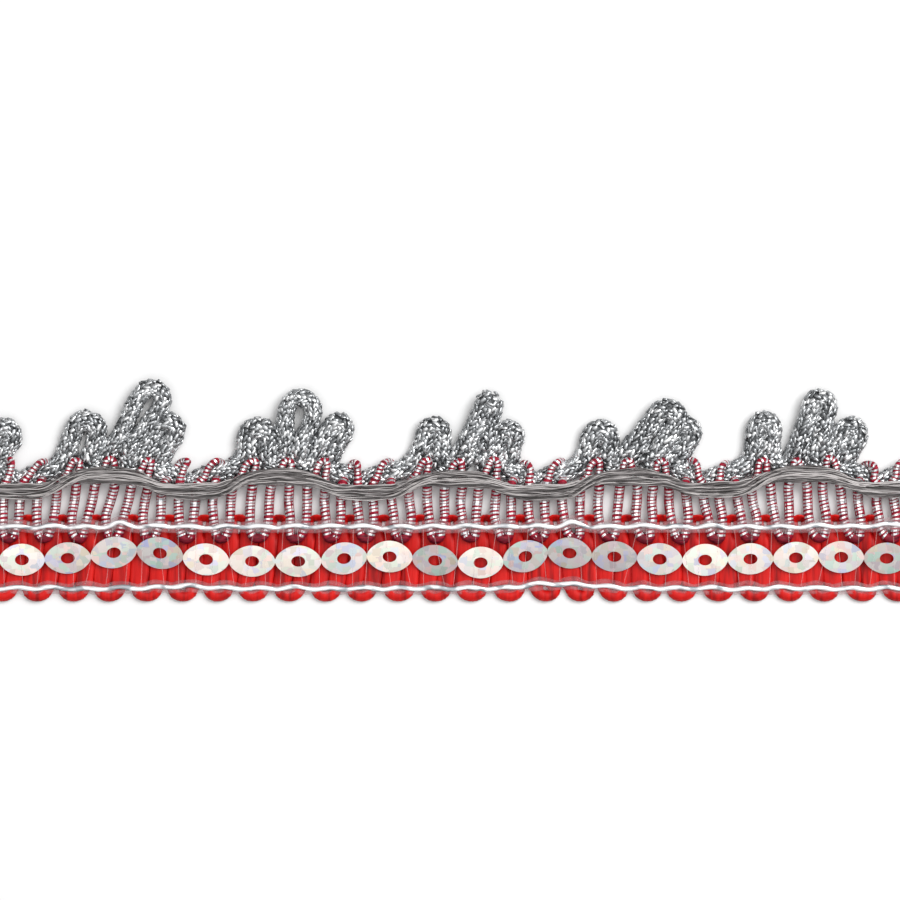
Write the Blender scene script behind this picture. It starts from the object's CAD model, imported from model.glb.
# A cut length of sequin braid trim, laid flat with its face up and seen from straight above.
# Shapes are worked out in millimetres: X along the trim, Y across it towards the silver petals, Z up.
import math

import bpy
import mathutils
import numpy as np
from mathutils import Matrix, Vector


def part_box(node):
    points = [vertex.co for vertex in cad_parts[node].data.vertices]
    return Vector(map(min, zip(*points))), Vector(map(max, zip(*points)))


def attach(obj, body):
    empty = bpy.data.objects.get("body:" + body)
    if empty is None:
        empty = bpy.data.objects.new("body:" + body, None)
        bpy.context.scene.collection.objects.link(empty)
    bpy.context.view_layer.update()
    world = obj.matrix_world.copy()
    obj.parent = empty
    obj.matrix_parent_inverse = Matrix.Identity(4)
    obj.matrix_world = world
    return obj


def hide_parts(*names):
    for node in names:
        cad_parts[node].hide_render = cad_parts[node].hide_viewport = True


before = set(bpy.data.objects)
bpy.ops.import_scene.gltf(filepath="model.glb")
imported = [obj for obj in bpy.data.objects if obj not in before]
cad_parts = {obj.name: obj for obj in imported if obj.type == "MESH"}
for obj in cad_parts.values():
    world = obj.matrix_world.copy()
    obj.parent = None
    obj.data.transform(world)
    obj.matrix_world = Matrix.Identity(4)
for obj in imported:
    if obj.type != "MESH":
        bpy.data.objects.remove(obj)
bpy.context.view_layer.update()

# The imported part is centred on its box. The grey skein and the lower line tell how far it was moved
# for that.
lowerLineY = -12.75
skeinLow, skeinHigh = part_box("grey_skein")
lineLow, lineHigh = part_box("lower_binding_line")
skeinX = (skeinLow[0] + skeinHigh[0]) / 2
lineMiddleY = (lineLow[1] + lineHigh[1]) / 2
moved = np.array([skeinX, lineMiddleY - lowerLineY / 1000, 0.0])

# The beat of the stitches: one red loop and one gimp hairpin each, and five to a repeat
beat = {
    "pitch": 4.58,
    "stitches": 35,
    "repeat": 22.9,
    "halfLength": 80.15,
    "ringShift": -0.99,
    "firstStray": 5,
}

# How far the stitches stray along the trim, from the sixth stitch on: for the red low turns,
# the red rings, the cord's legs under the skein, and the tips of its hairpins
strays = {
    "levels": (-13.9, -3.7, 0.3, 4.0),
    "low": [
        -1.99, -1.69, -1.66, -1.22, -1.06, -1.02, -0.99, -0.82, -0.52, -0.48, -0.05, 0.25, 0.41,
        0.85, 1.14, 1.05, 0.82, 0.72, 0.5, 0.93, 1.09, 1.13, 1.03, 1.6, 1.63,
    ],
    "ring": [
        -0.76, -0.85, -0.95, -0.78, -0.48, -0.45, -0.54, 0.28, 0.58, 0.36, 0.26, 0.56, 0.07,
        -0.03, -0.13, -0.09, -0.19, 0.24, 0.15, 0.45, 0.35, 0.12, 0.03, 0.19, 0.23,
    ],
    "leg": [
        -0.62, -0.32, 0.04, 0.14, -0.55, -0.58, -0.15, 0.22, 0.52, 0.22, -0.14, 0.03, 0.2,
        0.17, -0.19, -0.42, -0.25, 0.51, 0.08, -0.21, -0.37, -0.47, -0.1, -0.4, -0.36,
    ],
    "hairpin": [
        1.35, 1.13, 0.9, 1.46, 1.5, 1.4, 1.3, 1.47, 1.64, 1.15, 0.79, 1.35, 0.99,
        1.16, 0.8, 0.44, 0.87, 0.24, 0.02, -0.48, -0.57, -0.27, -0.37, -0.46, 0.1,
    ],
}


# Shape helpers

def towards(low, high, share):
    return low + (high - low) * share


def eased(value, start, end):
    share = np.clip((value - start) / (end - start), 0, 1)
    return share * share * (3 - 2 * share)


def bell(share):
    return np.exp(-share * share)


def unit(vectors):
    return vectors / np.linalg.norm(vectors, axis=-1, keepdims=True)


def ringX(stitch):
    return beat["ringShift"] + (stitch - (beat["stitches"] - 1) / 2) * beat["pitch"]


# Where a point of a stitch lies along the trim
def strayed(x, y):
    places = ringX(beat["firstStray"] + np.arange(len(strays["ring"])))
    found = [np.interp(x, places + beat["pitch"] / 2, strays["low"])]
    found += [np.interp(x, places, strays[level]) for level in ("ring", "leg", "hairpin")]
    return x + np.interp(y, strays["levels"], found)


# A smooth curve through stations at an even step. The first three columns are the place.
def smoothPath(stations, step):
    rows = np.array(stations, float)
    knots = np.sqrt(np.linalg.norm(np.diff(rows[:, :3], axis=0), axis=1))
    knots = np.concatenate([[0], np.cumsum(knots)])
    slopes = np.gradient(rows, knots, axis=0)
    finePerStation = 12
    fine = np.arange(0, len(rows) - 1, 1 / finePerStation)
    i = fine.astype(int)
    u = (fine - i)[:, None]
    gap = np.diff(knots)[i][:, None]
    curve = (2 * u**3 - 3 * u**2 + 1) * rows[i] + (u**3 - 2 * u**2 + u) * gap * slopes[i]
    curve += (3 * u**2 - 2 * u**3) * rows[i + 1] + (u**3 - u**2) * gap * slopes[i + 1]
    curve = np.vstack([curve, rows[-1]])
    run = np.linalg.norm(np.diff(curve[:, :3], axis=0), axis=1)
    run = np.concatenate([[0], np.cumsum(run)])
    even = np.linspace(0, run[-1], int(run[-1] / step) + 2)
    return np.column_stack([np.interp(even, run, column) for column in curve.T])


# The direction of a path at each point, the level direction to its left, and the way up from both
def pathFrames(points):
    ahead = unit(np.gradient(points, axis=0))
    side = unit(np.column_stack([-ahead[:, 1], ahead[:, 0], np.zeros(len(ahead))]))
    return ahead, side, np.cross(ahead, side)


# A slow wander along a path, made of a few waves of chance length
def wander(rng, run, size, wave):
    waveShares = (1, 0.6, 0.37)
    total = np.zeros(len(run))
    for share in waveShares:
        length = wave * share * rng.uniform(0.8, 1.25)
        total += np.sin(2 * np.pi * run / length + rng.uniform(0, 2 * np.pi))
    return size * total / 2


# A closed skin over rings of points that run anticlockwise as seen from ahead
def skinOver(rings):
    count, around = rings.shape[:2]
    start = (np.arange(count - 1) * around)[:, None]
    k = np.arange(around)
    after = (k + 1) % around
    quads = np.stack([start + k, start + after, start + around + after, start + around + k], axis=-1)
    last = (count - 1) * around
    faces = quads.reshape(-1, 4).tolist()
    faces += [list(range(around))[::-1], list(range(last, last + around))]
    return rings.reshape(-1, 3), faces


# A round or oval tube, with a width and a height at each point
def tubeSkin(points, width, height, sides):
    _, side, up = pathFrames(points)
    angles = 2 * np.pi * (np.arange(sides) + 0.5) / sides
    wide = np.broadcast_to(np.asarray(width, float), len(points))[:, None, None] / 2
    high = np.broadcast_to(np.asarray(height, float), len(points))[:, None, None] / 2
    across = np.cos(angles)[None, :, None] * wide * side[:, None]
    upward = np.sin(angles)[None, :, None] * high * up[:, None]
    return skinOver(points[:, None] + across + upward)


# A thin band, crowned across its width. The path's columns are place, width, crown and roll in degrees.
def bandSkin(path, thick, across):
    _, side, up = pathFrames(path[:, :3])
    width, crown, roll = path[:, 3], path[:, 4], np.radians(path[:, 5])
    rolledSide = side * np.cos(roll)[:, None] + up * np.sin(roll)[:, None]
    rolledUp = up * np.cos(roll)[:, None] - side * np.sin(roll)[:, None]
    u = np.linspace(-1, 1, across)
    share = np.concatenate([u, u[::-1]])
    half = np.concatenate([np.full(across, -thick / 2), np.full(across, thick / 2)])
    out = share[None] * width[:, None] / 2
    lift = crown[:, None] * (1 - share**2)[None] + half[None]
    rise = lift[..., None] * rolledUp[:, None]
    return skinOver(path[:, None, :3] + out[..., None] * rolledSide[:, None] + rise)


# Joins skins into one object that rides on the trim. Tones are numbers that its material can read,
# one for each point or one for each skin. A piece without a slot stands for no solid.
def makePiece(name, skins, material, replaced=(), smooth=True, tones=None):
    corners, faces, start = [], [], 0
    for points, own in skins:
        corners.append(np.maximum(points, (-np.inf, -np.inf, 0)))  # nothing dips into the table
        faces += [[start + index for index in face] for face in own]
        start += len(points)
    mesh = bpy.data.meshes.new(name)
    mesh.from_pydata((np.vstack(corners) / 1000 + moved).tolist(), [], faces)
    mesh.polygons.foreach_set("use_smooth", [smooth] * len(mesh.polygons))
    if tones is not None:
        if len(tones) == len(skins):
            tones = np.repeat(tones, [len(points) for points, own in skins])
        tone = mesh.attributes.new("tone", "FLOAT", "POINT")
        tone.data.foreach_set("value", np.asarray(tones, np.float32))
    mesh.materials.append(material)
    piece = bpy.data.objects.new(name, mesh)
    bpy.context.collection.objects.link(piece)
    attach(piece, "root")
    if replaced:
        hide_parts(*replaced)
    triangles = sum(len(face) - 2 for face in faces)
    print(f"{name}: {triangles} triangles")


# Material helpers

# A colour as a paint program shows it, from 0 to 255, as Blender's linear colour
def paint(red, green, blue):
    linear = []
    for value in (red, green, blue):
        share = value / 255
        linear.append(share / 12.92 if value < 11 else ((share + 0.055) / 1.055) ** 2.4)
    return (*linear, 1.0)


def newMaterial(name, **shader):
    material = bpy.data.materials.new(name)
    material.use_nodes = True
    principled = material.node_tree.nodes["Principled BSDF"]
    for socket, value in shader.items():
        principled.inputs[socket.replace("_", " ")].default_value = value
    return material, principled


# Adds a node. An input is a plain value or another node's output.
def addNode(material, kind, inputs, **settings):
    node = material.node_tree.nodes.new(kind)
    for key, value in settings.items():
        setattr(node, key, value)
    for key, value in inputs.items():
        wire(material, value, node.inputs[key])
    return node


def wire(material, value, socket):
    if isinstance(value, bpy.types.NodeSocket):
        material.node_tree.links.new(value, socket)
    else:
        socket.default_value = value


# Object coordinates stretched by a scale for each axis, per metre
def stretched(material, scale):
    place = addNode(material, "ShaderNodeTexCoord", {})
    mapping = addNode(material, "ShaderNodeMapping", {"Vector": place.outputs["Object"], "Scale": scale})
    return mapping.outputs["Vector"]


def noise(material, scale, detail=2.0):
    inputs = {"Vector": stretched(material, scale), "Scale": 1.0, "Detail": detail}
    return addNode(material, "ShaderNodeTexNoise", inputs).outputs["Fac"]


def toneOf(material):
    return addNode(material, "ShaderNodeAttribute", {}, attribute_name="tone").outputs["Fac"]


def blended(material, share, first, second, blend="MIX"):
    inputs = {"Fac": share, "Color1": first, "Color2": second}
    return addNode(material, "ShaderNodeMixRGB", inputs, blend_type=blend).outputs["Color"]


def ramp(material, value, stops):
    node = addNode(material, "ShaderNodeValToRGB", {"Fac": value})
    marks = node.color_ramp.elements
    while len(marks) < len(stops):
        marks.new(0.5)
    for mark, (position, colour) in zip(marks, stops):
        mark.position = position
        mark.color = colour
    return node.outputs["Color"]


def addBump(material, principled, height, strength, depth):
    bump = addNode(material, "ShaderNodeBump", {"Height": height, "Strength": strength, "Distance": depth})
    wire(material, bump.outputs["Normal"], principled.inputs["Normal"])


# Red ribbon: up to a ring folded on edge, and down to a round turn at the plain edge

ribbon = {
    "thick": 0.13,
    "step": 0.36,
    "across": 6,  # points over the face
    "z": 0.46,
    # out from the ring's middle, y, width, crown, roll in degrees, rise
    "legs": [
        (0.7, -4.5, 1.4, 0.02, 46, 0.24),
        (0.92, -5.3, 2.1, 0.05, 26, 0.1),
        (1.1, -6.3, 2.6, 0.06, 11, 0),
        (1.145, -8.8, 2.7, 0.08, 9, 0),
        (1.16, -11.4, 2.65, 0.1, 8, 0),
        (1.1, -12.4, 2.3, 0.2, 5, 0),
    ],
    # out from the low turn's middle, y above the lowest line, width, crown
    "turn": [(1.14, 1.0, 1.75, 0.32), (0.98, 0.48, 1.62, 0.42), (0.42, 0.1, 1.5, 0.46)],
    "ringTop": (0.54, -3.62, 1.4, 0.02, 50, 0.28),
    "lowest": -13.8,
    "turnRise": -0.02,
    "edgeY": (-6.4, -5.0),  # from where to where the left leg turns on edge
    "leanSwing": (-3, 3),
    "widthSwing": (0.97, 1.03),
    "seed": 3,
}


def ribbonSkin():
    rng = np.random.default_rng(ribbon["seed"])
    stations = []

    def add(x, y, width, crown, roll, rise):
        lean = roll + rng.uniform(*ribbon["leanSwing"])
        wide = width * rng.uniform(*ribbon["widthSwing"])
        stations.append((strayed(x, y), y, ribbon["z"] + rise, wide, crown, lean))

    for stitch in range(beat["stitches"]):
        ring = ringX(stitch)
        low = ring + beat["pitch"] / 2
        for out, y, width, crown, roll, rise in reversed(ribbon["legs"]):
            onEdge = eased(y, *ribbon["edgeY"])  # below that, this leg tips the other way
            add(ring - out, y, width, crown, towards(-roll, roll, onEdge), rise)
        out, y, width, crown, roll, rise = ribbon["ringTop"]
        add(ring - out, y, width, crown, roll, rise)
        add(ring + out, y, width, crown, roll, rise)
        for out, y, width, crown, roll, rise in ribbon["legs"]:
            add(ring + out, y, width, crown, roll, rise)
        for out, above, width, crown in ribbon["turn"]:
            add(low - out, ribbon["lowest"] + above, width, crown, 0, ribbon["turnRise"])
        for out, above, width, crown in reversed(ribbon["turn"]):
            add(low + out, ribbon["lowest"] + above, width, crown, 0, ribbon["turnRise"])
    return bandSkin(smoothPath(stations, ribbon["step"]), ribbon["thick"], ribbon["across"])


def redSatin():
    material, shader = newMaterial("red satin ribbon", Roughness=0.5, Specular_IOR_Level=0.22)
    creases = noise(material, (1500, 150, 700))
    colour = ramp(material, creases, [
        (0.30, paint(138, 4, 6)),
        (0.48, paint(188, 12, 9)),
        (0.72, paint(208, 22, 15)),
    ])
    wire(material, colour, shader.inputs["Base Color"])
    addBump(material, shader, creases, 0.45, 0.0003)
    return material


makePiece("ribbonBand", [ribbonSkin()], redSatin(), ["red_ribbon"])


# Grey skein and silver chain share the scallop of the trim

scallop = {
    "crests": (2.0, 2.24, 2.04, 1.71, 1.95, 2.44, 2.2),
    "troughs": (-0.1, -0.13, -0.13, -0.26, -0.26, 0.13, 0.13, 0.1),
    "shift": -0.7,
    "bias": 0.075,  # how far the crests are broader than the troughs
    "squareness": 1.6,
    "chainAbove": 1.35,
}


def scallopWave(x):
    return np.cos(2 * np.pi * (x - scallop["shift"]) / beat["repeat"]) + scallop["bias"]


def skeinY(x):
    along = (x - scallop["shift"]) / beat["repeat"]
    crest = np.interp(along, np.arange(-3, 4), scallop["crests"])
    trough = np.interp(along, np.arange(-3.5, 4), scallop["troughs"])
    return towards(trough, crest, (np.tanh(scallop["squareness"] * scallopWave(x)) + 1) / 2)


def chainBaseY(x):
    return skeinY(x) + scallop["chainAbove"]


# How far a place is at a crest of the scallop: one on a crest, zero in a trough
def crestShare(x):
    return eased(scallopWave(x), -0.6, 0.6)


# Gimp cord: a crimson core wound with silver tinsel, over the red band and over the chain

gimp = {
    "core": 1.32,
    "hairpinCore": 0.92,
    "coreSides": 9,
    "step": 0.3,
    "overBandZ": 1.14,
    "overChainZ": 1.68,
    "climb": (3.2, 0.9),  # how far before the chain it starts and stops to rise
    "sag": 0.42,  # how far the cord hangs between the red band and the chain
    "sagY": (-1.6, 1.6),  # where, and its reach
    # out from the ring's middle, y
    "legs": [(1.14, 0.9), (1.18, -1.3), (1.24, -3.5), (1.5, -5.2), (1.87, -6.1)],
    "topY": (4.1, 3.8),  # where the hairpin turns, at a crest and in a trough
    "topSwing": 0.12,
    "topHalf": (0.56, 0.8),  # half its width there
    "topHalfSwing": (0.85, 1.2),
    "tipShare": 0.56,  # how close its two uppermost points stand
    "shoulder": 0.7,  # how far below them it is at full width
    "knee": (0.3, 2.0),  # where it bends towards the legs: the share of the way out, y
    "sway": 0.09,
    "swayAlong": 0.8,  # as a share of the sway across
    "sunk": 1.1,
    "sinkY": (0.9, 2.2),
    "thinsY": (0.6, 2.6),  # from where to where the core thins to the hairpin's
    "bareY": (5.7, 6.15),  # from where to where the low turns lose their tinsel, downwards
    "tinselWidth": 0.33,
    "tinselThick": 0.08,
    "tinselOut": 0.01,
    "tinselSwing": (0.8, 1.15),
    "tinselLoose": 0.014,
    "outerShare": 0.8,  # how wide its outer face is
    "sideSunk": 0.065,  # how far the tinsel presses into the core at its sides
    "turnBuried": 0.12,
    "turnGaps": (0.43, 0.48, 0.58),  # the spacing of the windings, over and over
    "gapSwing": (0.9, 1.12),
    "turnSteps": 10,
    "turnShade": 0.45,
    "seed": 11,
}


def gimpPath():
    rng = np.random.default_rng(gimp["seed"])
    stations = []

    def add(x, y, sunk=0):
        along = strayed(x, y)
        base = chainBaseY(along)
        starts, stops = gimp["climb"]
        z = towards(gimp["overBandZ"], gimp["overChainZ"], eased(y, base - starts, base - stops))
        sagAt, sagReach = gimp["sagY"]
        z -= gimp["sag"] * bell((y - sagAt) / sagReach) + sunk * eased(y, *gimp["sinkY"])
        strayX = rng.normal(0, gimp["sway"] * gimp["swayAlong"])
        stations.append((along + strayX, y + rng.normal(0, gimp["sway"]), z))

    for stitch in range(beat["stitches"]):
        ring = ringX(stitch)
        crest = crestShare(ring)
        half = towards(gimp["topHalf"][1], gimp["topHalf"][0], crest) * rng.uniform(*gimp["topHalfSwing"])
        top = towards(gimp["topY"][1], gimp["topY"][0], crest) + rng.normal(0, gimp["topSwing"])
        climbing = math.sin(2 * math.pi * (ring - scallop["shift"]) / beat["repeat"]) < 0
        kneeShare, kneeY = gimp["knee"]
        knee = (towards(half, gimp["legs"][0][0], kneeShare), kneeY)
        legs = [(half * gimp["tipShare"], top), (half, top - gimp["shoulder"]), knee] + gimp["legs"]
        # in a trough, the leg on the side of the nearer petals goes down into the chain
        sunk = gimp["sunk"] * (1 - crest)
        for out, y in reversed(legs):
            add(ring - out, y, 0 if climbing else sunk)
        for out, y in legs:
            add(ring + out, y, sunk if climbing else 0)
    return smoothPath(stations, gimp["step"])


# The tinsel, a flat strip wound round the core. Its turns are spaced by the gaps, over and over.
def woundSkin(points, radius, rng):
    thick, turnSteps = gimp["tinselThick"], gimp["turnSteps"]
    run = np.concatenate([[0], np.cumsum(np.linalg.norm(np.diff(points, axis=0), axis=1))])
    turns = int(run[-1] / np.mean(gimp["turnGaps"]))
    spacing = np.resize(gimp["turnGaps"], turns) * rng.uniform(*gimp["gapSwing"], turns)
    starts = np.concatenate([[0], np.cumsum(spacing)])
    starts = starts[starts < run[-1]]
    turn = np.arange(0, len(starts) - 1, 1 / turnSteps)
    at = np.interp(turn, np.arange(len(starts)), starts)
    angle = 2 * np.pi * turn
    centre = np.column_stack([np.interp(at, run, column) for column in points.T])
    ahead, side, up = pathFrames(centre)
    outward = side * np.cos(angle)[:, None] + up * np.sin(angle)[:, None]
    wide = gimp["tinselWidth"] * rng.uniform(*gimp["tinselSwing"], len(starts))
    half = np.interp(turn, np.arange(len(starts)), wide)[:, None] / 2
    loose = np.interp(turn, np.arange(len(starts)), rng.normal(0, gimp["tinselLoose"], len(starts)))
    out = (np.interp(at, run, radius) + loose - gimp["sideSunk"] * np.cos(angle) ** 2)[:, None]
    low = centre + outward * (out - thick / 2)
    high = centre + outward * (out + thick / 2)
    inner = ahead * half
    outer = ahead * half * gimp["outerShare"]
    return skinOver(np.stack([low + inner, low - inner, high - outer, high + outer], axis=1))


def crimsonCore():
    material, shader = newMaterial("crimson core thread", Roughness=0.6, Specular_IOR_Level=0.3)
    fibres = noise(material, (1500, 5200, 1500))
    colour = ramp(material, fibres, [
        (0.3, paint(80, 2, 24)),
        (0.5, paint(138, 5, 36)),
        (0.72, paint(170, 14, 48)),
    ])
    tone = toneOf(material)
    shaded = blended(material, tone, colour, paint(52, 0, 14))
    wire(material, shaded, shader.inputs["Base Color"])
    addBump(material, shader, fibres, 0.4, 0.0002)
    return material


def silverTinsel():
    material, shader = newMaterial("silver tinsel", Metallic=0.85, Roughness=0.32)
    scratches = noise(material, (2200, 2200, 2200))
    colour = ramp(material, scratches, [
        (0.32, paint(168, 172, 178)),
        (0.5, paint(226, 228, 230)),
        (0.7, paint(250, 250, 248)),
    ])
    wire(material, colour, shader.inputs["Base Color"])
    addBump(material, shader, scratches, 0.25, 0.0001)
    return material


gimpLine = gimpPath()
core = towards(gimp["core"], gimp["hairpinCore"], eased(gimpLine[:, 1], *gimp["thinsY"]))
# the red of the low turns is bare and lies in the shade
atTurn = eased(-gimpLine[:, 1], *gimp["bareY"])
coreTones = np.repeat(gimp["turnShade"] * atTurn, gimp["coreSides"])
coreSkin = tubeSkin(gimpLine, core, core, gimp["coreSides"])
makePiece("gimpCore", [coreSkin], crimsonCore(), ["gimp_cord"], tones=coreTones)
tinselRadius = core / 2 + gimp["tinselOut"] - gimp["turnBuried"] * atTurn
tinsel = woundSkin(gimpLine, tinselRadius, np.random.default_rng(gimp["seed"] + 1))
makePiece("gimpTinsel", [tinsel], silverTinsel(), ["gimp_cord"], smooth=False)


# Grey skein: threads side by side in two layers, which turn over as the skein crosses from crest to trough

skein = {
    "threads": 26,
    "thread": 0.19,
    "width": 2.1,
    "pinch": 0.7,
    "height": 0.4,
    "z": 2.42,
    "turnsOver": (0.22, 0.78),  # between which shares of a flank
    "strayAcross": (0.1, 12),  # how far the threads wander, and over what length
    "strayUp": (0.05, 9),
    "tones": (-0.05, 0.65),
    "step": 0.5,
    "sides": 5,
    "seed": 21,
}


def skeinSkins():
    rng = np.random.default_rng(skein["seed"])
    x = np.linspace(-beat["halfLength"], beat["halfLength"], 8 * beat["stitches"])
    middle = smoothPath(np.column_stack([x, skeinY(x), np.full(len(x), skein["z"])]), skein["step"])
    _, side, up = pathFrames(middle)
    x = middle[:, 0]
    run = np.arange(len(x)) * skein["step"]
    crossing = np.abs(np.sin(2 * np.pi * x / beat["repeat"])) ** 3
    width = skein["width"] - skein["pinch"] * crossing
    # each flank turns the bundle over by half
    flank = x / (beat["repeat"] / 2)
    over = np.floor(flank) + eased(flank - np.floor(flank), *skein["turnsOver"])
    skins = []
    for thread in range(skein["threads"]):
        place = thread / skein["threads"] + over / 4
        across = 1 - 4 * np.abs((place % 1) - 0.5)
        layer = np.sin(2 * np.pi * place)
        out = across * width / 2 + wander(rng, run, *skein["strayAcross"])
        lift = np.sign(layer) * np.abs(layer) ** 0.5 * skein["height"] / 2
        lift += wander(rng, run, *skein["strayUp"])
        points = middle + side * out[:, None] + up * lift[:, None]
        skins.append(tubeSkin(points, skein["thread"], skein["thread"], skein["sides"]))
    return skins


def greyThread():
    material, shader = newMaterial("grey skein thread", Metallic=0.4, Roughness=0.42)
    tone = toneOf(material)
    fibres = noise(material, (300, 5200, 5200))
    both = addNode(material, "ShaderNodeMath", {0: tone, 1: fibres}, operation="ADD")
    colour = ramp(material, both.outputs[0], [
        (0.4, paint(56, 53, 52)),
        (0.7, paint(110, 105, 105)),
        (0.95, paint(184, 179, 178)),
    ])
    wire(material, colour, shader.inputs["Base Color"])
    addBump(material, shader, fibres, 0.3, 0.0001)
    return material


skeinTones = np.random.default_rng(skein["seed"] + 1).uniform(*skein["tones"], skein["threads"])
makePiece("skeinThreads", skeinSkins(), greyThread(), ["grey_skein"], tones=skeinTones)


# Binding lines: two flat bright tapes that sway once in each stitch

bindingLines = {
    "width": 0.6,
    "thick": 0.16,
    "crown": 0.08,
    "across": 4,
    "sway": 0.14,
    # how far it wanders, and over what length
    "strayY": (0.08, 19),
    "strayRoll": (20, 5),
    "strayWidth": (0.1, 6),
    "step": 0.3,
    # the heights over the yarns and between them. A rise is where the line leaves its course:
    # its place along, its size and its reach
    "upper": {
        "y": -4.6,
        "over": 1.96,
        "between": 1.72,
        "rises": [(-44.6, 0.4, 1.3), (14.8, 0.6, 1.5), (58, 0.3, 4)],
        "seed": 31,
    },
    "lower": {
        "y": lowerLineY,
        "over": 0.9,
        "between": 0.84,
        "rises": [(-36, 0.25, 5), (13.6, 0.6, 6)],
        "seed": 32,
    },
}


# One over each ring and minus one between two rings
def ringPhase(x):
    return np.cos(2 * np.pi * (x - beat["ringShift"]) / beat["pitch"])


def lineY(line, x):
    rises = sum(size * bell((x - at) / reach) for at, size, reach in line["rises"])
    return line["y"] - bindingLines["sway"] * ringPhase(x) + rises


def lineSkin(line):
    rng = np.random.default_rng(line["seed"])
    x = np.linspace(-beat["halfLength"], beat["halfLength"], 8 * beat["stitches"])
    y = lineY(line, x) + wander(rng, x, *bindingLines["strayY"])
    z = towards(line["over"], line["between"], eased(ringPhase(x), -0.2, 1))
    roll = wander(rng, x, *bindingLines["strayRoll"])
    width = bindingLines["width"] * (1 + wander(rng, x, *bindingLines["strayWidth"]))
    stations = np.column_stack([x, y, z, width, np.full(len(x), bindingLines["crown"]), roll])
    path = smoothPath(stations, bindingLines["step"])
    return bandSkin(path, bindingLines["thick"], bindingLines["across"])


def brightTape():
    material, shader = newMaterial("bright binding tape", Metallic=0.5, Roughness=0.25)
    glints = noise(material, (420, 900, 900), 1.0)
    colour = ramp(material, glints, [
        (0.36, paint(160, 163, 168)),
        (0.46, paint(236, 236, 238)),
        (1.0, paint(252, 252, 252)),
    ])
    wire(material, colour, shader.inputs["Base Color"])
    addBump(material, shader, glints, 0.2, 0.0002)
    return material


tape = brightTape()
for which in ("upper", "lower"):
    node = which + "_binding_line"
    makePiece(which + "Line", [lineSkin(bindingLines[which])], tape, [node])


# Silver chain cord: a dark core with bright knitted stitches over it. It makes three petals in each repeat.

chain = {
    "held": (2.5, 1.2),  # width and height under the hairpins
    "petalHeight": 1.4,
    "rootY": 4.1,
    "rootExtra": 0.7,  # how much broader the cord lies at the petals' roots
    # where along a petal's legs their stations lie
    "pressedShare": 0.6,
    "kneeShare": 0.42,
    "shoulderShare": 0.82,
    "pressedHalf": 1.0,
    "linkY": 3.2,
    "linkHalf": 0.45,
    "middleWithin": 3,  # a repeat's middle petal has its root this near the repeat's middle
    "middleLift": 0.3,
    "tipRise": 0.55,  # how far the petals' tips stand off the table
    "endY": 1.3,
    # between two repeats, the share of the way and the place across
    "valley": [
        (-0.07, 3.1), (0.09, 2.55), (0.24, 1.85), (0.36, 0.95),
        (0.5, 1.85), (0.68, 2.45), (0.87, 3.1),
    ],
    "coreShare": 0.84,
    "coreSides": 8,
    "step": 0.5,
    # For each petal: its repeat, its root and its tip along from the repeat's middle, its reach across,
    # half the spread of its legs, the share of its length up to which they are pressed together,
    # half its root, and its cord's width
    "petals": [
        (0, -4.3, -3.4, 10.1, 1.3, 0, 1.3, 2.6),
        (0, 1.1, 4.0, 13.1, 1.35, 0, 1.4, 2.5),
        (0, 6.2, 9.6, 9.4, 1.15, 0, 1.2, 2.4),
        (1, -4.4, -2.9, 10.6, 1.55, 0, 1.8, 2.5),
        (1, 0.3, 6.15, 14.5, 1.52, 0.4, 1.8, 2.15),
        (1, 5.0, 8.0, 10.3, 1.2, 0, 1.1, 2.4),
        (2, -3.75, -3.4, 9.8, 1.4, 0, 1.4, 2.75),
        (2, 0.5, 2.4, 13.4, 1.75, 0.42, 1.0, 2.15),
        (2, 4.5, 7.5, 10.2, 0.95, 0, 1.1, 2.3),
        (3, -3.9, -3.1, 9.9, 1.0, 0, 1.6, 2.5),
        (3, 1.9, 4.1, 13.3, 0.6, 0, 1.75, 2.5),
        (3, 5.4, 6.8, 9.4, 0.9, 0, 1.1, 2.4),
        (4, -4.9, -4.0, 9.5, 1.2, 0, 1.4, 2.6),
        (4, 0.6, 5.3, 11.9, 1.4, 0, 1.6, 2.7),
        (4, 4.6, 7.4, 9.8, 1.0, 0, 1.1, 2.4),
        (5, -6.0, -5.5, 10.5, 1.1, 0, 1.15, 2.45),
        (5, 0.0, 1.9, 13.5, 1.0, 0, 1.65, 2.6),
        (5, 3.9, 6.3, 9.7, 1.1, 0, 1.1, 2.4),
        (6, -4.4, -3.4, 10.0, 1.3, 0, 1.3, 2.6),
        (6, 0.9, 3.2, 13.2, 1.3, 0, 1.4, 2.5),
        (6, 5.6, 7.8, 9.8, 1.1, 0, 1.2, 2.4),
    ],
}


def petalStations(petal, lift):
    repeat, root, tip, reach, spread, pressed, rootHalf, width = petal
    middle = (repeat - 3) * beat["repeat"]
    height = chain["petalHeight"]
    start = np.array([middle + root, chain["rootY"]])
    end = np.array([middle + tip, reach - width / 2])
    full = np.linalg.norm(end - start)
    straight = full - spread
    axis = unit(end - start)
    outward = np.array([axis[1], -axis[0]])

    def place(along, out):
        x, y = start + axis * along + outward * out
        rise = chain["tipRise"] * (along / full) ** 2
        return (x, y, height / 2 + lift + rise, width, height)

    def leg(side):
        _, heldHeight = chain["held"]
        rootWidth = width + chain["rootExtra"]
        root = (start[0] + side * rootHalf, start[1], heldHeight / 2, rootWidth, heldHeight)
        if pressed:
            shares = (pressed * chain["pressedShare"], pressed)
            lower = [place(straight * share, side * chain["pressedHalf"]) for share in shares]
        else:
            lower = [place(straight * chain["kneeShare"], side * towards(rootHalf, spread, 0.5))]
        return [root] + lower + [place(straight * chain["shoulderShare"], side * spread)]

    turns = [share * np.pi / 2 for share in (-1, -0.5, 0, 0.5, 1)]
    tipArc = [place(straight + spread * np.cos(turn), spread * np.sin(turn)) for turn in turns]
    return leg(-1) + tipArc + leg(1)[::-1]


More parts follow.
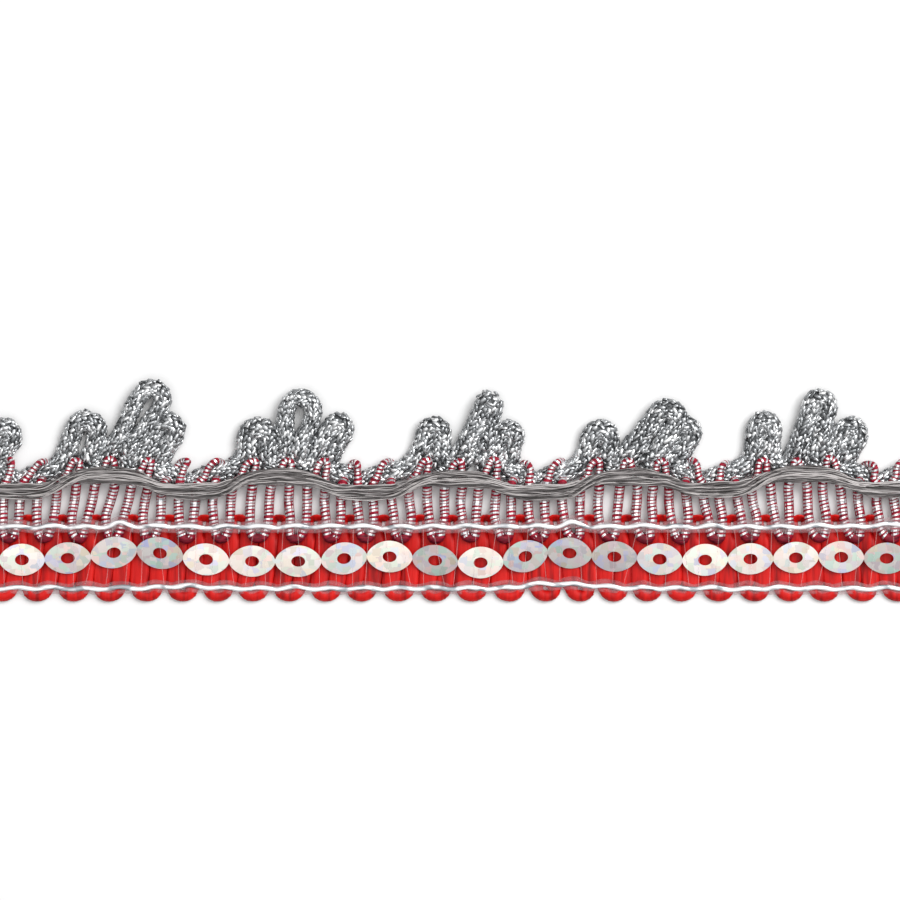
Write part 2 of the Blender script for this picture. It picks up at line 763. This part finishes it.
def chainPath():
    width, height = chain["held"]

    def held(x, y):
        return (x, y, height / 2, width, height)

    stations = [held(-beat["halfLength"], chain["endY"])]
    before = None
    for petal in chain["petals"]:
        isMiddle = before == petal[0] and abs(petal[1]) < chain["middleWithin"]
        own = petalStations(petal, chain["middleLift"] if isMiddle else 0)
        start, end = stations[-1][0], own[0][0]
        if before == petal[0]:
            middle = towards(start, end, 0.5)
            stations += [held(middle + side * chain["linkHalf"], chain["linkY"]) for side in (-1, 1)]
        else:
            valley = chain["valley"] if before is not None else chain["valley"][3:]
            stations += [held(towards(start, end, share), y) for share, y in valley]
        stations += own
        before = petal[0]
    start = stations[-1][0]
    stations += [held(towards(start, beat["halfLength"], share), y) for share, y in chain["valley"][:2]]
    stations.append(held(beat["halfLength"], chain["endY"]))
    return smoothPath(stations, chain["step"])


# Knitted stitches: slim closed plates in leaning rows over the upper side of the cord
stitches = {
    "step": 0.72,
    "columns": 8,
    "arc": (-22, 202),  # degrees round the cord, where 90 is its top
    "length": 1.08,
    "width": 0.56,
    "thick": 0.22,
    "lean": 24,
    "inset": 0.93,  # their middles, as a share of the cord's half width
    "topShare": 0.72,  # how large a plate's upper face is
    "endGap": 0.3,
    # how far they differ by chance
    "alongSwing": 0.2,
    "roundSwing": 0.07,
    "leanSwing": 0.16,
    "tipSwing": 0.16,
    "rollSwing": 0.36,
    "outSwing": (-0.03, 0.08),
    "lengthSwing": (0.75, 1.2),
    "widthSwing": (0.8, 1.2),
    "seed": 41,
}


def chainStitches(path):
    rng = np.random.default_rng(stitches["seed"])
    run = np.arange(len(path)) * chain["step"]
    columns = stitches["columns"]
    rows = int(run[-1] / stitches["step"])
    row, column = np.meshgrid(np.arange(rows), np.arange(columns), indexing="ij")
    row, column = row.ravel(), column.ravel()
    count = len(row)

    def chance(swing):
        return rng.normal(0, swing, count)[:, None]

    jitter = rng.uniform(-stitches["alongSwing"], stitches["alongSwing"], count)
    at = (row + 0.5 * (column % 2) + jitter) * stitches["step"]
    at = np.clip(at, stitches["endGap"], run[-1] - stitches["endGap"])
    whole = np.column_stack([np.interp(at, run, values) for values in path.T])
    frames = pathFrames(path[:, :3])
    ahead, side, up = [unit(np.column_stack([np.interp(at, run, part) for part in v.T])) for v in frames]

    # where each one sits on the oval of the cord
    low, high = np.radians(stitches["arc"])
    angle = towards(low, high, (column + 0.5) / columns)[:, None] + chance(stitches["roundSwing"])
    cos, sin = np.cos(angle), np.sin(angle)
    wide, tall = whole[:, 3:4] / 2 * stitches["inset"], whole[:, 4:5] / 2 * stitches["inset"]
    centre = whole[:, :3] + side * cos * wide + up * sin * tall
    outward = unit(side * cos * tall + up * sin * wide)
    around = np.cross(outward, ahead)

    # how it leans, tips and rolls
    lean = np.radians(stitches["lean"]) * np.where(column % 2 == 0, 1, -1)[:, None]
    lean = lean + chance(stitches["leanSwing"])
    long = ahead * np.cos(lean) + around * np.sin(lean)
    long = unit(long + outward * chance(stitches["tipSwing"]))
    broad = np.cross(outward, long)
    roll = chance(stitches["rollSwing"])
    broad = unit(broad * np.cos(roll) + outward * np.sin(roll))
    lifted = np.cross(long, broad)
    centre = centre + outward * rng.uniform(*stitches["outSwing"], count)[:, None]
    half = stitches["length"] / 2 * rng.uniform(*stitches["lengthSwing"], count)[:, None]
    breadth = stitches["width"] / 2 * rng.uniform(*stitches["widthSwing"], count)[:, None]
    thick = stitches["thick"] / 2

    corners = []
    for height, share in ((-1, 1.0), (1, stitches["topShare"])):
        for a, b in ((-1, -1), (1, -1), (1, 1), (-1, 1)):
            reach = long * half * a * share + broad * breadth * b * share
            corners.append(centre + reach + lifted * thick * height)
    sidesOf = [[0, 3, 2, 1], [4, 5, 6, 7], [0, 1, 5, 4], [1, 2, 6, 5], [2, 3, 7, 6], [3, 0, 4, 7]]
    faces = np.array(sidesOf)[None] + len(corners) * np.arange(count)[:, None, None]
    tones = np.repeat(rng.uniform(0, 1, count), len(corners))
    return (np.stack(corners, axis=1).reshape(-1, 3), faces.reshape(-1, 4).tolist()), tones


def chainGrey():
    material, shader = newMaterial("chain core grey", Metallic=0.6, Roughness=0.45)
    flecks = noise(material, (1800, 1800, 1800))
    colour = ramp(material, flecks, [
        (0.35, paint(60, 62, 64)),
        (0.55, paint(104, 106, 108)),
        (0.75, paint(150, 152, 154)),
    ])
    wire(material, colour, shader.inputs["Base Color"])
    addBump(material, shader, flecks, 0.5, 0.0003)
    return material


def silverStitch():
    material, shader = newMaterial("silver knit stitches", Metallic=0.85, Roughness=0.27)
    tone = toneOf(material)
    colour = ramp(material, tone, [
        (0.0, paint(104, 106, 108)),
        (0.2, paint(150, 152, 154)),
        (0.65, paint(184, 186, 188)),
        (0.85, paint(222, 223, 224)),
    ])
    wire(material, colour, shader.inputs["Base Color"])
    flecks = noise(material, (1500, 1500, 1500), 1.0)
    addBump(material, shader, flecks, 0.25, 0.0002)
    return material


chainLine = chainPath()
share = chain["coreShare"]
coreSkin = tubeSkin(chainLine[:, :3], chainLine[:, 3] * share, chainLine[:, 4] * share, chain["coreSides"])
makePiece("chainCore", [coreSkin], chainGrey(), ["silver_chain"])
stitchSkin, stitchTones = chainStitches(chainLine)
knit = silverStitch()
makePiece("chainStitches", [stitchSkin], knit, ["silver_chain"], tones=stitchTones)


# Sequin strip: oval foil sequins joined at their necks

sequins = {
    "pitch": 6,
    "count": 26,
    "width": 4.3,
    "thick": 0.06,
    "hole": (1.84, 1.46),
    "neck": 0.62,
    "firstNeckX": -78.6,
    "tilt": 14,
    "tiltSwing": 3,
    "z": 1.6,
    # where each neck lies across the trim, and how far the strip drifts along it: place, drift
    "neckY": (
        -8.7, -8.8, -9.0, -9.0, -8.97, -8.57, -7.52, -8.7, -9.18, -9.18, -9.18, -8.44, -8.7, -9.44,
        -9.28, -7.78, -8.44, -8.7, -9.1, -8.91, -8.84, -8.57, -8.7, -8.9, -8.6, -8.8, -8.9,
    ),
    "drift": ((-54, 0.1), (-18, 0.5), (5, 0.46), (17, 0.08), (53, -0.1)),
    "around": 48,
    "inward": 4,
    "point": 0.16,  # how much slimmer than an ellipse the oval is towards its necks
    # sequins that tip away from the light, wholly and in part, and how dull they look
    "turnedAway": (1, 6, 12, 14, 15, 16, 22, 25),
    "halfTurned": (0, 4, 5, 10, 17, 21, 23),
    "dullness": {"away": 0.8, "half": 0.45, "facing": 0.05},
    "awayTilt": 3,
    "swingStep": 1.7,  # radians of the tilt's swing from one sequin to the next
    "curl": 0.1,
}


def sequinSkins():
    count = sequins["count"]
    x = sequins["firstNeckX"] + np.arange(count + 1) * sequins["pitch"]
    x += np.interp(x, *zip(*sequins["drift"]))
    joints = np.column_stack([x, sequins["neckY"], np.full(count + 1, sequins["z"])])
    angle = 2 * np.pi * np.arange(sequins["around"]) / sequins["around"]
    skins = []
    for i in range(count):
        along = joints[i + 1] - joints[i]
        length = np.linalg.norm(along)
        along = along / length
        tilt = sequins["tilt"] + sequins["tiltSwing"] * math.sin(i * sequins["swingStep"])
        tilt = math.radians(tilt + (sequins["awayTilt"] if i in sequins["turnedAway"] else 0))
        side = np.array([-along[1] * math.cos(tilt), along[0] * math.cos(tilt), math.sin(tilt)])
        up = np.cross(along, side)
        rimX = length / 2 * np.cos(angle)
        rimY = sequins["width"] / 2 * np.sin(angle) * (1 - sequins["point"] * np.cos(angle) ** 2)
        atNeck = np.abs(rimY) < sequins["neck"] / 2
        rimX[atNeck] = np.sign(rimX[atNeck]) * length / 2
        holeX = sequins["hole"][0] / 2 * np.cos(angle)
        holeY = sequins["hole"][1] / 2 * np.sin(angle)
        loops = []
        shares = np.linspace(0, 1, sequins["inward"] + 1)
        for face, order in ((1, shares), (-1, shares[::-1])):
            for share in order:
                px, py = towards(rimX, holeX, share), towards(rimY, holeY, share)
                bow = -sequins["curl"] * (2 * py / sequins["width"]) ** 2
                pz = bow + face * sequins["thick"] / 2
                centre = (joints[i] + joints[i + 1]) / 2
                loops.append(centre + px[:, None] * along + py[:, None] * side + pz[:, None] * up)
        rings = np.stack(loops)
        around = sequins["around"]
        k = np.arange(around)
        after = (k + 1) % around
        faces = []
        for ring in range(len(loops)):
            a, b = ring * around, (ring + 1) % len(loops) * around
            faces += np.column_stack([a + k, a + after, b + after, b + k]).tolist()
        skins.append((rings.reshape(-1, 3), faces))
    return skins


def pearlFoil():
    material, shader = newMaterial("pearl sequin foil", Metallic=0.25, Roughness=0.28)
    shader.inputs["Coat Weight"].default_value = 0.3
    shader.inputs["Coat Roughness"].default_value = 0.12
    flakes = addNode(material, "ShaderNodeTexVoronoi", {
        "Vector": stretched(material, (1000, 1000, 1000)),
        "Scale": 1.1,
        "Randomness": 0.85,
    }, distance="CHEBYCHEV")
    hue = addNode(material, "ShaderNodeSeparateColor", {"Color": flakes.outputs["Color"]})
    colour = ramp(material, hue.outputs[0], [
        (0.0, paint(238, 222, 196)),
        (0.25, paint(222, 216, 222)),
        (0.4, paint(246, 210, 202)),
        (0.52, paint(242, 232, 228)),
        (0.64, paint(198, 200, 238)),
        (0.76, paint(204, 230, 212)),
        (1.0, paint(242, 230, 224)),
    ])
    glints = ramp(material, hue.outputs[2], [
        (0.0, paint(196, 196, 196)),
        (0.4, paint(240, 240, 240)),
        (1.0, paint(255, 255, 255)),
    ])
    tone = toneOf(material)
    # a duller sequin shows more of the colours
    shown = addNode(material, "ShaderNodeMath", {0: tone, 1: 0.5, 2: 0.6}, operation="MULTIPLY_ADD")
    pastel = blended(material, shown.outputs[0], paint(244, 234, 221), colour)
    dull = blended(material, tone, pastel, paint(196, 199, 205), "MULTIPLY")
    broken = blended(material, 0.5, dull, glints, "MULTIPLY")
    wire(material, broken, shader.inputs["Base Color"])
    addBump(material, shader, hue.outputs[1], 0.1, 0.0002)
    return material


dullness = np.full(sequins["count"], sequins["dullness"]["facing"])
dullness[list(sequins["halfTurned"])] = sequins["dullness"]["half"]
dullness[list(sequins["turnedAway"])] = sequins["dullness"]["away"]
foil = pearlFoil()
makePiece("sequinFoil", sequinSkins(), foil, ["sequin_strip"], smooth=False, tones=dullness)


# Clear thread: stitches that hold the sequins and both lines down

clearThread = {
    "thick": 0.09,
    "sides": 5,
    "step": 0.5,
    "spacing": 2.29,
    "fromEnds": 2,
    "alongSwing": 0.22,
    "slant": 0.35,
    # for each place of a cross thread: its share of the slant, y, z
    "over": [(-1, -4.9, 2.12), (-0.6, -6.2, 2.3), (0, -8.6, 2.05), (0.6, -11.0, 1.25), (1, -12.4, 1.05)],
    "loopWidth": 0.75,
    "loopThick": 0.05,
    "loopCrown": 0.06,
    "loopAcross": 3,
    "loopStep": 0.45,
    "loopZ": {"upper": 1.84, "lower": 0.8},
    "loopApart": 0.24,  # from the line's middle
    "loopSpread": 0.26,  # and this much more between two rings
    "loopRoll": 10,
    "loopFromEnds": 0.2,
    # how far the loops wander, and over what length
    "strayY": (0.06, 8),
    "strayWidth": (0.15, 3),
    "strayRoll": (8, 6),
    "seed": 61,
}


# Fine threads across the sequins, from line to line
def crossThreads(rng):
    skins = []
    first = clearThread["fromEnds"] - beat["halfLength"]
    count = int(-2 * first / clearThread["spacing"])
    for i in range(count):
        x = first + i * clearThread["spacing"] + rng.normal(0, clearThread["alongSwing"])
        slant = rng.normal(0, clearThread["slant"])
        stations = [(x + slant * share, y, z) for share, y, z in clearThread["over"]]
        thread = smoothPath(stations, clearThread["step"])
        skins.append(tubeSkin(thread, clearThread["thick"], clearThread["thick"], clearThread["sides"]))
    return skins


# Flat loops of clear thread that run along both sides of each line
def lineLoops(rng):
    skins = []
    end = beat["halfLength"] - clearThread["loopFromEnds"]
    x = np.linspace(-end, end, 10 * beat["stitches"])
    swell = np.abs(np.sin(np.pi * (x - beat["ringShift"]) / beat["pitch"])) ** 0.7
    apart = clearThread["loopApart"] + clearThread["loopSpread"] * swell
    crown = np.full(len(x), clearThread["loopCrown"])
    for which, z in clearThread["loopZ"].items():
        for side in (-1, 1):
            y = lineY(bindingLines[which], x) + side * apart + wander(rng, x, *clearThread["strayY"])
            wide = clearThread["loopWidth"] * (1 + wander(rng, x, *clearThread["strayWidth"]))
            roll = side * clearThread["loopRoll"] + wander(rng, x, *clearThread["strayRoll"])
            stations = np.column_stack([x, y, np.full(len(x), z), wide, crown, roll])
            path = smoothPath(stations, clearThread["loopStep"])
            skins.append(bandSkin(path, clearThread["loopThick"], clearThread["loopAcross"]))
    return skins


def clearNylon(name, clearness, tints):
    material, shader = newMaterial(name, Roughness=0.25, Alpha=1 - clearness)
    gloss = noise(material, (900, 900, 900), 1.0)
    colour = ramp(material, gloss, [(0.3, tints[0]), (0.7, tints[1])])
    wire(material, colour, shader.inputs["Base Color"])
    return material


threadRng = np.random.default_rng(clearThread["seed"])
fineNylon = clearNylon("fine clear thread", 0.86, (paint(222, 190, 190), paint(250, 240, 240)))
loopNylon = clearNylon("flat clear loops", 0.84, (paint(170, 118, 124), paint(206, 168, 172)))
makePiece("crossThreads", crossThreads(threadRng), fineNylon)
makePiece("lineLoops", lineLoops(threadRng), loopNylon)


# Floor, light and camera

studio = {
    "floorSide": 4.0,
    "keyFrom": (0.48, 0.37, 0.66),
    "keySize": 0.6,
    "keyPower": 6.8,
    "floorTone": 0.8,
    # how bright the surroundings are by the height of the view: height, tone
    "sky": [(0.0, 0.1), (0.3, 0.14), (0.6, 0.26), (0.85, 0.6), (1.0, 1.0)],
    "skyStrength": 1.75,
    "filmWidth": 36,
    "eye": 0.7,  # metres above the table
    "overX": -1.166,  # millimetres
    "overY": 5.47,
    "fieldWidth": 118.7,
}


def makeFloor():
    half = studio["floorSide"] / 2
    mesh = bpy.data.meshes.new("paleFloor")
    corners = [(-half, -half, 0), (half, -half, 0), (half, half, 0), (-half, half, 0)]
    mesh.from_pydata(corners, [], [(0, 1, 2, 3)])
    material, shader = newMaterial("pale floor", Roughness=0.8)
    shader.inputs["Base Color"].default_value = (studio["floorTone"],) * 3 + (1,)
    shader.inputs["Specular IOR Level"].default_value = 0.1
    mesh.materials.append(material)
    floor = bpy.data.objects.new("paleFloor", mesh)
    bpy.context.collection.objects.link(floor)


def makeLight():
    world = bpy.data.worlds.new("softStudio")
    bpy.context.scene.world = world
    world.use_nodes = True
    place = addNode(world, "ShaderNodeTexCoord", {})
    parts = addNode(world, "ShaderNodeSeparateXYZ", {"Vector": place.outputs["Generated"]})
    stops = [(height, (tone, tone, tone, 1)) for height, tone in studio["sky"]]
    sky = ramp(world, parts.outputs["Z"], stops)
    background = world.node_tree.nodes["Background"]
    wire(world, sky, background.inputs["Color"])
    background.inputs["Strength"].default_value = studio["skyStrength"]
    lamp = bpy.data.lights.new("keyLight", "AREA")
    lamp.energy = studio["keyPower"]
    lamp.size = studio["keySize"]
    key = bpy.data.objects.new("keyLight", lamp)
    bpy.context.collection.objects.link(key)
    key.location = studio["keyFrom"]
    key.rotation_euler = mathutils.Vector(studio["keyFrom"]).to_track_quat("Z", "Y").to_euler()


def makeCamera():
    data = bpy.data.cameras.new("overheadCamera")
    data.sensor_width = studio["filmWidth"]
    data.lens = studio["filmWidth"] * studio["eye"] / (studio["fieldWidth"] / 1000)
    data.clip_start = 0.01
    camera = bpy.data.objects.new("overheadCamera", data)
    bpy.context.collection.objects.link(camera)
    camera.location = (studio["overX"] / 1000, studio["overY"] / 1000, studio["eye"])
    bpy.context.scene.camera = camera


makeFloor()
makeLight()
makeCamera()
bpy.context.scene.view_settings.view_transform = "Standard"
print("floor, light and camera are in place")
